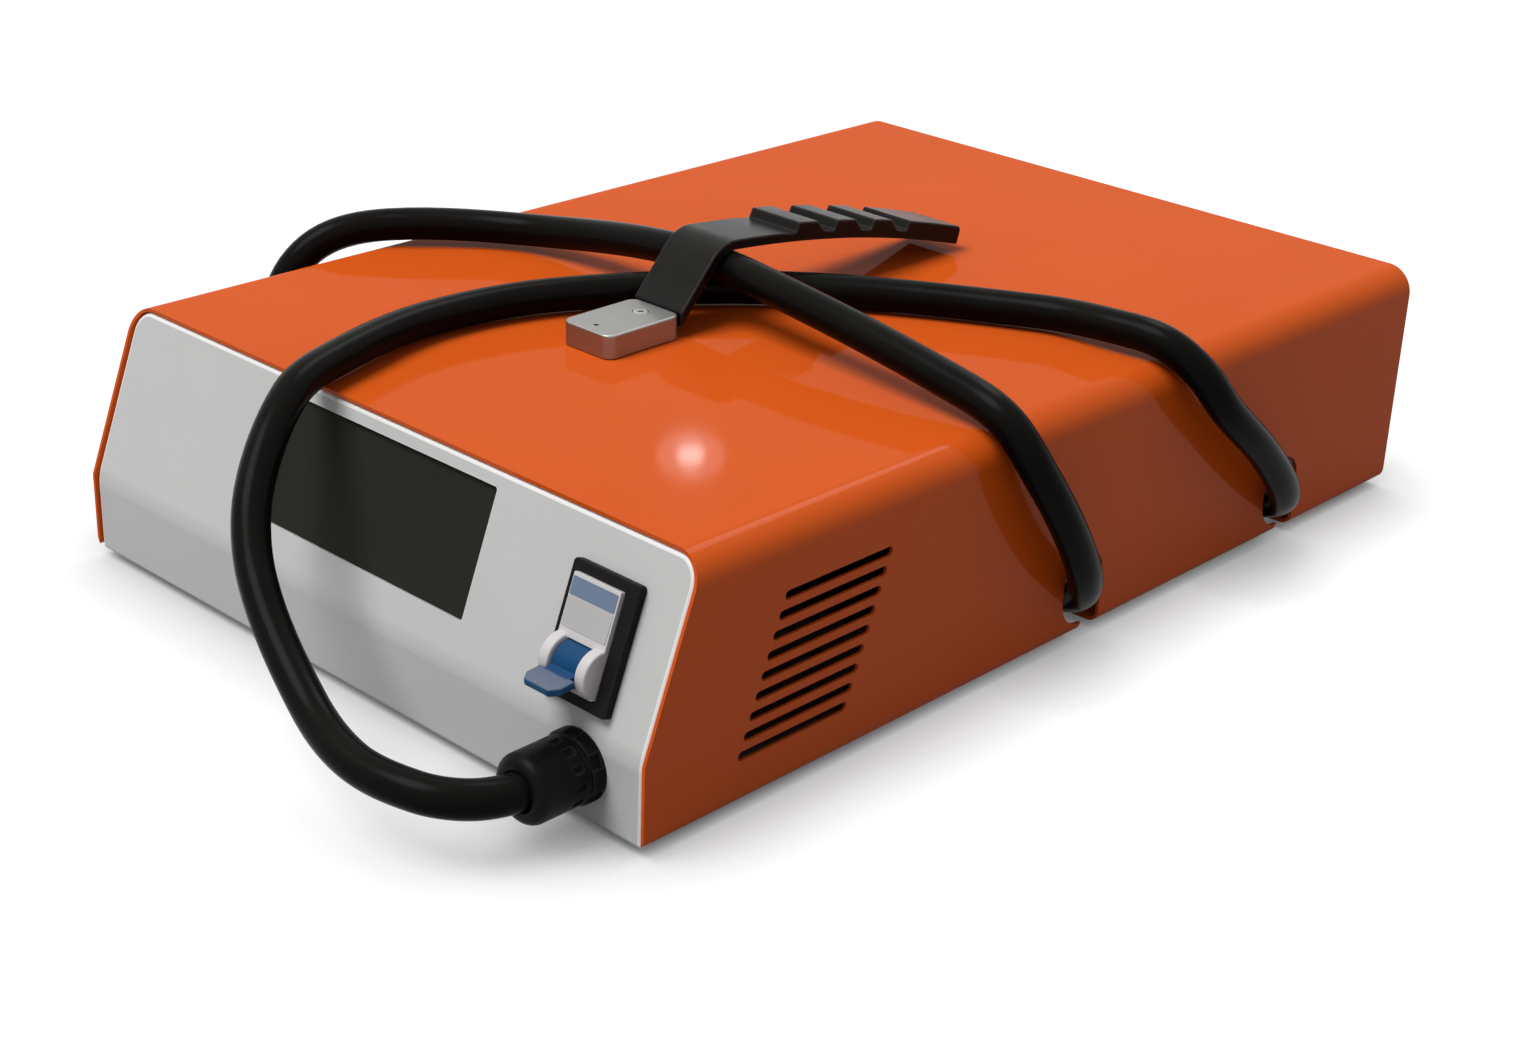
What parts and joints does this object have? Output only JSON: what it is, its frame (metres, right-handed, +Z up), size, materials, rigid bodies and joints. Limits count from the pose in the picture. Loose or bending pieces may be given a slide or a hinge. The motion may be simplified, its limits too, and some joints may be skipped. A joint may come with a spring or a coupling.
{
  "type": "forklift battery charger",
  "caption": "Flat metal battery charger with a sloping front, display, breaker switch, side vents and an output lead wrapped round the case under a toothed rubber strap.",
  "frame": {"origin": "on the floor under the middle of the case, its lead left out", "axes": "+X to the right as seen from the front, +Y to the rear, +Z up"},
  "size_m": [0.4346, 0.6501, 0.1628],
  "materials": {
    "orange_paint": "semi-gloss paint",
    "grey_paint": "satin paint",
    "zinc_sheet": "zinc plated",
    "rubber": "matt",
    "zinc_steel": "zinc plated",
    "dark_window": "smoked and glossy",
    "circuit_board": "solder mask",
    "dark_plastic": "fine grain",
    "white_plastic": "satin",
    "blue_plastic": "satin",
    "black_plastic": "fine grain",
    "satin_aluminium": "satin",
    "contact_metal": "plated",
    "ferrite": "matt",
    "copper": "lacquered copper",
    "capacitor_sleeve": "glossy"
  },
  "bodies": {
    "case": {"cover": "orange_paint", "front_panel": "grey_paint", "rear_panel": "grey_paint", "base_tray": "zinc_sheet", "front_feet": "rubber", "rear_feet": "rubber", "cover_screws": "zinc_steel", "display_window": "dark_window", "display_module": "circuit_board", "breaker_bezel": "dark_plastic", "breaker_body": "white_plastic", "breaker_rail": "zinc_steel", "rail_posts": "zinc_steel", "gland_body": "black_plastic", "gland_nut": "black_plastic", "gland_seal": "rubber", "gland_locknut": "black_plastic", "strap_plate": "satin_aluminium", "strap": "rubber", "strap_screws": "zinc_steel", "lead": "rubber", "plug_housing": "dark_plastic", "plug_contacts": "contact_metal", "main_board": "circuit_board", "board_standoffs": "zinc_steel", "primary_heat_sink": "satin_aluminium", "secondary_heat_sink": "satin_aluminium", "power_switches": "black_plastic", "output_rectifiers": "black_plastic", "transformer_core": "ferrite", "transformer_winding": "copper", "storage_choke": "copper", "bulk_capacitors": "capacitor_sleeve", "input_relay": "black_plastic", "terminal_block": "circuit_board", "output_busbars": "copper", "supply_gland": "black_plastic", "supply_locknut": "black_plastic", "fan_frame": "black_plastic", "fan_guard": "zinc_steel", "fan_screws": "zinc_steel"},
    "breaker_lever": {"breaker_lever": "blue_plastic"},
    "fan_rotor": {"fan_rotor": "black_plastic"}
  },
  "joints": [
    {"name": "lever_hinge", "type": "hinge", "parent": "case", "child": "breaker_lever", "pos_m": [0.145, -0.26324, 0.06705], "axis": [-1, 0, 0], "range_deg": [0, 70]},
    {"name": "fan_spin", "type": "hinge", "parent": "case", "child": "fan_rotor", "pos_m": [-0.09, 0.2645, 0.076], "axis": [0, 1, 0], "continuous": true}
  ]
}
